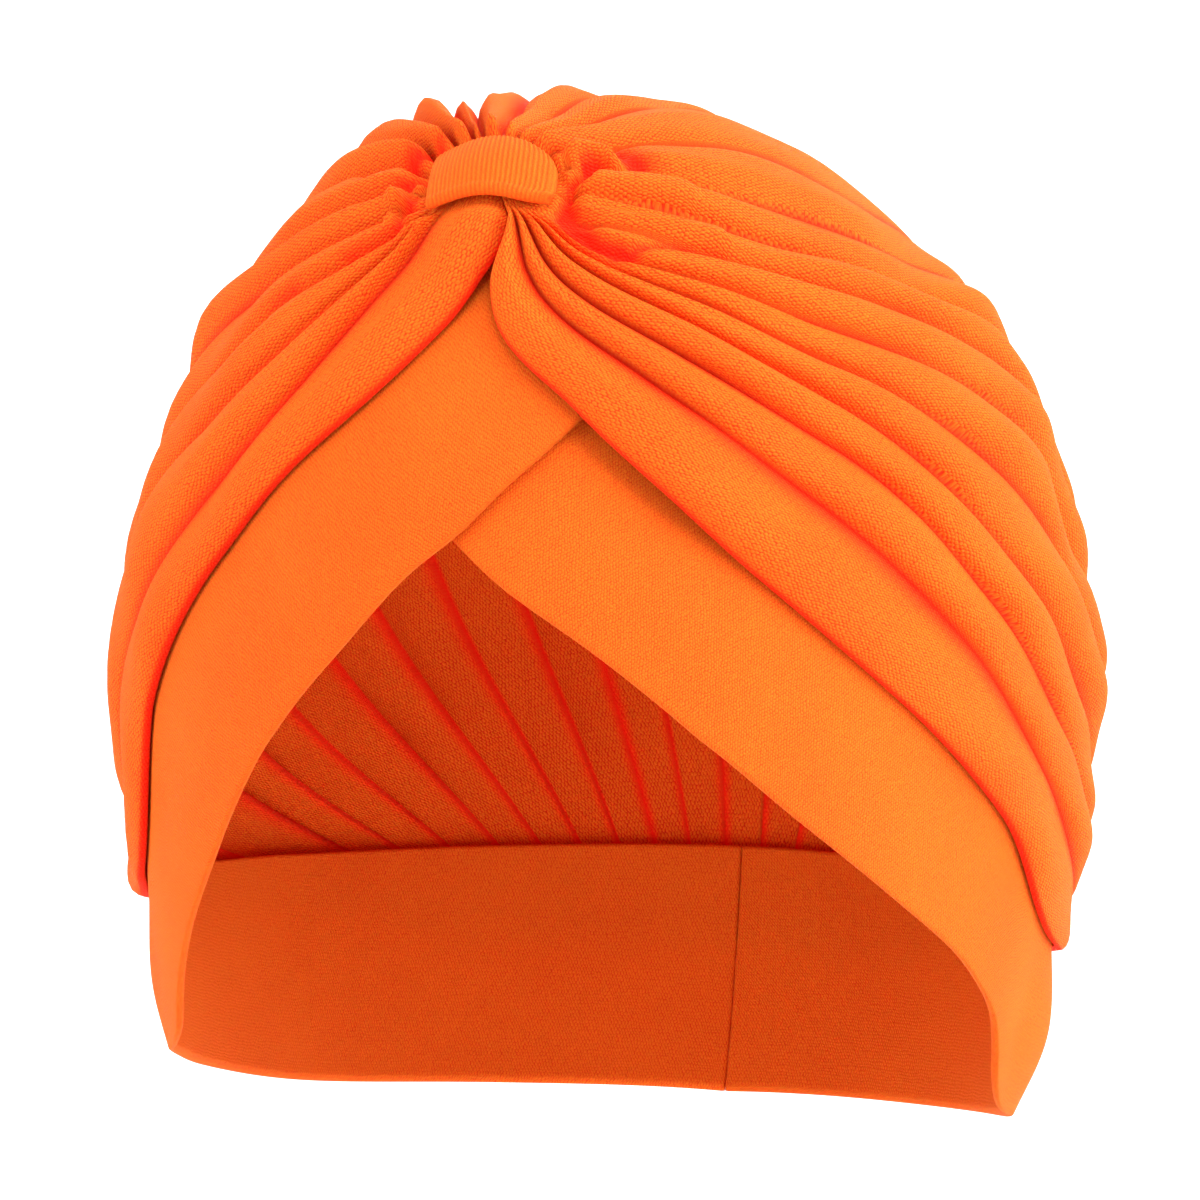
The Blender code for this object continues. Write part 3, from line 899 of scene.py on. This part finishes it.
@dataclass(frozen=True)
class KnitFinish:
    """A knitted cloth: its dyes and its painted shade colours, and the spacing of its stitches on the flat
    cloth.

    course_mm and stitch_mm are the pitches along and across the cloth, relief_mm is how far the stitches stand
    out, contrast is how dark the painted shade in the pits between them is, bars is the share of the stitches'
    pattern, and the painted shade weight is how much of the painted red crease shade the marked creases, dents
    and rib valleys take.
    """

    name: str
    colour: str = "E36713"
    # The second colour is the painted shade in the pits and the random mottling; the third is the painted red
    # shade in creases, dents and rib valleys
    pit_shade_and_mottle: str = "CE2C02"
    crease_shade: str = "F41802"
    course_mm: float = 0.74
    stitch_mm: float = 0.70
    relief_mm: float = 0.09
    contrast: float = 1.0
    bars: float = 1.0
    painted_shade_weight: float = 0.92
    course_share: float = 0.35
    fuzz_share: float = 1.9
    fuzz_per_mm: float = 1.6
    stray_mm: float = 0.9
    stray_per_mm: float = 0.35
    cloud_per_mm: float = 0.03
    roughness: float = 0.80
    sheen: float = 0.12
    sheen_roughness: float = 0.45
    sheen_tint: str = "FF9A4A"
    specular: float = 0.12
    glow: float = 0.30
    glow_mm: float = 2.5
    glow_radius: tuple[float, float, float] = (1.0, 0.08, 0.03)

    def wave(
        self, tree: bpy.types.NodeTree, place: bpy.types.NodeSocket, pitch: float, scale: float = 1.0,
    ) -> bpy.types.NodeSocket:
        """Cosine of a place over a pitch."""
        turns = {0: place, 1: 2.0 * math.pi * scale / pitch}
        angle = add_node(tree, "ShaderNodeMath", {"operation": "MULTIPLY"}, turns)
        return add_node(tree, "ShaderNodeMath", {"operation": "COSINE"}, {0: angle.outputs[0]}).outputs[0]

    def stitches(self, tree: bpy.types.NodeTree, flat: bpy.types.NodeSocket) -> bpy.types.NodeSocket:
        """Height of the knit, from rows of staggered stitches, courses and fuzz.

        Args:
            tree: the material's node tree.
            flat: the cloth map in millimetres.

        Returns:
            The height, which is low in the pits between the stitches.
        """
        stray = add_node(
            tree, "ShaderNodeTexNoise", {"noise_dimensions": "2D"},
            {"Vector": flat, "Scale": self.stray_per_mm, "Detail": 2.0},
        )
        offset = add_node(
            tree, "ShaderNodeVectorMath", {"operation": "MULTIPLY_ADD"},
            {0: stray.outputs["Color"], 1: (self.stray_mm, self.stray_mm, 0.0), 2: flat},
        )
        parts = add_node(tree, "ShaderNodeSeparateXYZ", {}, {0: offset.outputs[0]})
        across, along = parts.outputs[0], parts.outputs[1]
        course = self.wave(tree, along, self.course_mm)
        stitch = self.wave(tree, across, self.stitch_mm)
        every_other = self.wave(tree, along, self.course_mm, 0.5)
        height = add_node(
            tree, "ShaderNodeMath", {"operation": "MULTIPLY"}, {0: stitch, 1: every_other},
        ).outputs[0]
        height = add_node(
            tree, "ShaderNodeMath", {"operation": "MULTIPLY_ADD"},
            {0: course, 1: self.course_share, 2: height},
        ).outputs[0]
        height = add_node(
            tree, "ShaderNodeMath", {"operation": "MULTIPLY"}, {0: height, 1: self.bars},
        ).outputs[0]
        fuzz = add_node(
            tree, "ShaderNodeTexNoise", {"noise_dimensions": "2D"},
            {"Vector": flat, "Scale": self.fuzz_per_mm, "Detail": 4.0, "Roughness": 0.7},
        )
        return add_node(
            tree, "ShaderNodeMath", {"operation": "MULTIPLY_ADD"},
            {0: fuzz.outputs[0], 1: self.fuzz_share, 2: height},
        ).outputs[0]

    def dye_and_painted_shade(
        self, tree: bpy.types.NodeTree, flat: bpy.types.NodeSocket, height: bpy.types.NodeSocket,
    ) -> bpy.types.NodeSocket:
        """Colour of the cloth: painted shade in the pits, a little uneven, and painted red shade in the marked
        creases, dents and rib valleys.

        Args:
            tree: the material's node tree.
            flat: the cloth map in millimetres.
            height: height of the knit.

        Returns:
            The colour.
        """
        # Painted shade: the pits between the stitches are darkened in colour
        pits = add_node(
            tree, "ShaderNodeMapRange", {"interpolation_type": "SMOOTHSTEP"},
            {"Value": height, "From Min": 1.1, "From Max": 0.0, "To Min": 0.0, "To Max": self.contrast},
        ).outputs[0]
        cloud = add_node(
            tree, "ShaderNodeTexNoise", {"noise_dimensions": "2D"},
            {"Vector": flat, "Scale": self.cloud_per_mm, "Detail": 3.0},
        )
        cloudy = add_node(
            tree, "ShaderNodeMath", {"operation": "MULTIPLY_ADD", "use_clamp": True},
            {0: cloud.outputs[0], 1: 0.30, 2: -0.08},
        ).outputs[0]
        pit_shade_and_mottle = add_node(
            tree, "ShaderNodeMath", {"operation": "ADD", "use_clamp": True}, {0: pits, 1: cloudy},
        ).outputs[0]
        dye_and_pit_shade = add_node(
            tree, "ShaderNodeMix", {"data_type": "RGBA"},
            {"Factor": pit_shade_and_mottle, "A": linear_colour(self.colour), "B": linear_colour(self.pit_shade_and_mottle)},
        ).outputs["Result"]
        # Painted shade: the marked creases, dents and rib valleys are mixed towards the red crease colour
        painted_shade = add_node(tree, "ShaderNodeAttribute", {"attribute_name": PAINTED_SHADE}, {}).outputs["Fac"]
        painted_shade_weight = add_node(
            tree, "ShaderNodeMath", {"operation": "MULTIPLY"}, {0: painted_shade, 1: self.painted_shade_weight},
        ).outputs[0]
        return add_node(
            tree, "ShaderNodeMix", {"data_type": "RGBA"},
            {"Factor": painted_shade_weight, "A": dye_and_pit_shade, "B": linear_colour(self.crease_shade)},
        ).outputs["Result"]

    def build(self) -> bpy.types.Material:
        """Build the material.

        Returns:
            The material, which reads the cloth map in millimetres and the mark of painted shade.
        """
        material = bpy.data.materials.new(self.name)
        material.use_nodes = True
        tree = material.node_tree
        shader = tree.nodes["Principled BSDF"]
        flat = add_node(tree, "ShaderNodeUVMap", {"uv_map": CLOTH_MAP}, {}).outputs[0]
        height = self.stitches(tree, flat)
        bump = add_node(
            tree, "ShaderNodeBump", {},
            {"Height": height, "Strength": 0.8, "Distance": self.relief_mm * MILLIMETRE},
        )
        tree.links.new(self.dye_and_painted_shade(tree, flat, height), shader.inputs["Base Color"])
        tree.links.new(bump.outputs[0], shader.inputs["Normal"])
        shader.inputs["Roughness"].default_value = self.roughness
        shader.inputs["Sheen Weight"].default_value = self.sheen
        shader.inputs["Sheen Roughness"].default_value = self.sheen_roughness
        shader.inputs["Sheen Tint"].default_value = linear_colour(self.sheen_tint)
        shader.inputs["Specular IOR Level"].default_value = self.specular
        shader.inputs["Subsurface Weight"].default_value = self.glow
        shader.inputs["Subsurface Radius"].default_value = self.glow_radius
        shader.inputs["Subsurface Scale"].default_value = self.glow_mm * MILLIMETRE
        return material


# Fine stretch jersey of brushed polyester, loosely gathered: rows of small stitches with painted shade in the
# pit between them, hardly any shine, red light that seeps through the dyed yarn in the creases, and painted red
# shade in the creases too
CROWN_JERSEY = KnitFinish("crown_stretch_jersey")

# The same jersey pulled smooth over the head: finer, flatter stitches
BAND_JERSEY = KnitFinish(
    "band_stretch_jersey", course_mm=0.66, stitch_mm=0.60, relief_mm=0.07, contrast=0.75,
)

# Rib knit of the same yarn: its ribs are modelled, so its stitches only show as faint bars on them, and the
# valleys between the ribs take painted shade
TAB_RIB = KnitFinish(
    "tab_rib_knit", course_mm=0.55, stitch_mm=0.77, relief_mm=0.05, contrast=0.45, bars=0.35,
    painted_shade_weight=0.42,
)


@dataclass(frozen=True)
class Studio:
    """Pale floor, soft lights and the camera at the photograph's angle."""

    middle: tuple[float, float, float] = (0.0, 0.0, -0.0920)
    azimuth: float = math.radians(18.0)
    elevation: float = math.radians(5.0)
    distance: float = 1.20
    focal_px: float = 6620.0
    frame_px: float = 1200.0
    sensor_mm: float = 36.0
    aim_side: float = 0.0022
    aim_height: float = -0.0855
    floor_level: float = -0.300
    floor_half_width: float = 2.5
    floor_bend: float = 0.9
    bend_run: float = 1.6
    backdrop_place: tuple[float, float, float] = (-0.25, 1.35, 1.15)
    backdrop_tilt: float = math.radians(20.0)
    backdrop_size: float = 1.6
    backdrop_watts: float = 32.0
    sky_strength: float = 0.40

    def axes(self) -> tuple[Vector, Vector, Vector]:
        """The camera's right, up and back directions."""
        flat = math.cos(self.elevation)
        back = Vector((math.sin(self.azimuth) * flat, -math.cos(self.azimuth) * flat, math.sin(self.elevation)))
        right = Vector((math.cos(self.azimuth), math.sin(self.azimuth), 0.0))
        return right, back.cross(right), back

    def place_camera(self) -> None:
        """Create the camera and make it the scene's."""
        right, up, back = self.axes()
        target = right * self.aim_side + Vector((0.0, 0.0, self.aim_height))
        camera = bpy.data.objects.new("camera", bpy.data.cameras.new("camera"))
        camera.data.sensor_width = self.sensor_mm
        camera.data.lens = self.focal_px / self.frame_px * self.sensor_mm
        turned = Matrix((right, up, back)).transposed().to_4x4()
        camera.matrix_world = Matrix.Translation(target + back * self.distance) @ turned
        bpy.context.scene.collection.objects.link(camera)
        bpy.context.scene.camera = camera

    def add_light(
        self, name: str, across: float, up: float, forward: float, size: float, watts: float,
    ) -> None:
        """Add a square soft light that faces the hat.

        Args:
            name: the light's name.
            across: metres to the camera's right of the hat.
            up: metres above the hat.
            forward: metres from the hat towards the camera.
            size: the square's side.
            watts: its power.
        """
        right, _, back = self.axes()
        level_back = Vector((back.x, back.y, 0.0)).normalized()
        middle = Vector(self.middle)
        place = middle + right * across + level_back * forward + Vector((0.0, 0.0, up))
        light = bpy.data.lights.new(name, "AREA")
        light.size = size
        light.energy = watts
        lamp = bpy.data.objects.new(name, light)
        turned = (place - middle).to_track_quat("Z", "Y").to_matrix().to_4x4()
        lamp.matrix_world = Matrix.Translation(place) @ turned
        bpy.context.scene.collection.objects.link(lamp)

    def add_backdrop_light(self) -> None:
        """Add a wide light over the ground behind the hat, facing down, so that it stays white."""
        light = bpy.data.lights.new("backdrop", "AREA")
        light.size = self.backdrop_size
        light.energy = self.backdrop_watts
        lamp = bpy.data.objects.new("backdrop", light)
        turned = Matrix.Rotation(self.backdrop_tilt, 4, "X")
        lamp.matrix_world = Matrix.Translation(self.backdrop_place) @ turned
        bpy.context.scene.collection.objects.link(lamp)

    def build_floor(self) -> bpy.types.Object:
        """Build the pale floor, which curves up far behind the hat.

        Returns:
            The floor's object.
        """
        bm = bmesh.new()
        bmesh.ops.create_grid(bm, x_segments=8, y_segments=64, size=self.floor_half_width)
        for vert in bm.verts:
            past = max(vert.co.y - (self.floor_half_width - self.bend_run), 0.0)
            vert.co.z = self.floor_level + past * past / (2.0 * self.floor_bend)
        bmesh.ops.recalc_face_normals(bm, faces=bm.faces)
        mesh = bpy.data.meshes.new("studio_floor")
        bm.to_mesh(mesh)
        bm.free()
        mesh.shade_smooth()
        mesh.materials.append(self.build_paper())
        floor = bpy.data.objects.new("studio_floor", mesh)
        bpy.context.scene.collection.objects.link(floor)
        return floor

    def build_paper(self) -> bpy.types.Material:
        """Build the floor's finish.

        Returns:
            The material.
        """
        # Matt white paper: an even pale ground that gives back soft light
        paper = bpy.data.materials.new("matt_white_paper")
        paper.use_nodes = True
        grain = add_node(paper.node_tree, "ShaderNodeTexCoord", {}, {}).outputs["Object"]
        noise = add_node(
            paper.node_tree, "ShaderNodeTexNoise", {}, {"Vector": grain, "Scale": 6.0, "Detail": 2.0},
        )
        tone = add_node(
            paper.node_tree, "ShaderNodeMix", {"data_type": "RGBA"},
            {"Factor": noise.outputs[0], "A": linear_colour("F4F3F1"), "B": linear_colour("FAF9F8")},
        )
        shader = paper.node_tree.nodes["Principled BSDF"]
        paper.node_tree.links.new(tone.outputs["Result"], shader.inputs["Base Color"])
        shader.inputs["Roughness"].default_value = 0.9
        return paper

    def build(self) -> None:
        """Build the floor, the lights, the sky light and the camera."""
        self.build_floor()
        self.place_camera()
        self.add_light("right_side", 1.15, 0.45, 0.50, 0.95, 25.0)
        self.add_light("left_side", -1.15, 0.40, 0.45, 0.95, 14.0)
        self.add_light("top_front", 0.25, 1.15, 0.45, 0.70, 14.0)
        self.add_backdrop_light()
        world = bpy.data.worlds.new("studio_sky")
        world.use_nodes = True
        sky = world.node_tree.nodes["Background"]
        sky.inputs["Color"].default_value = linear_colour("FFFFFF")
        sky.inputs["Strength"].default_value = self.sky_strength
        bpy.context.scene.world = world
        bpy.context.scene.view_settings.view_transform = "Standard"


@dataclass
class TurbanHat:
    """The whole hat: its pieces, their finishes and what each stands for."""

    form: HeadForm = field(default_factory=HeadForm)
    layers: Layers = field(default_factory=Layers)

    def dress(
        self, piece: bpy.types.Object, node: str, material: bpy.types.Material,
    ) -> None:
        """Give a piece its material, and let it ride on the body and stand for its CAD node."""
        piece.data.materials.append(material)
        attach(piece, "root")
        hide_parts(node)
        LOG.info("%s: %d faces, stands for %s", piece.name, len(piece.data.polygons), node)

    def build(self) -> None:
        knot = Knot(self.form)
        band_jersey = BAND_JERSEY.build()
        left = Band(self.form, self.layers, BandSide.LEFT, LEFT_EDGES, 1.0).build()
        right = Band(self.form, self.layers, BandSide.RIGHT, RIGHT_EDGES, 0.0).build()
        for piece, side in ((left, BandSide.LEFT), (right, BandSide.RIGHT)):
            self.dress(piece, side.value, band_jersey)
        crown = Crown(self.form, self.layers, knot).build()
        self.dress(crown, "crown", CROWN_JERSEY.build())
        tab = Tab(self.form, self.layers, knot).build()
        self.dress(tab, "knot_tab", TAB_RIB.build())


def write_sizes() -> None:
    """Update the view layer."""
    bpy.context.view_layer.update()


def main() -> None:
    """Build the hat and its studio, and update the view layer."""
    logging.basicConfig(level=logging.INFO, format="%(name)s: %(message)s")
    TurbanHat().build()
    Studio().build()
    write_sizes()


if __name__ == "__main__":
    main()
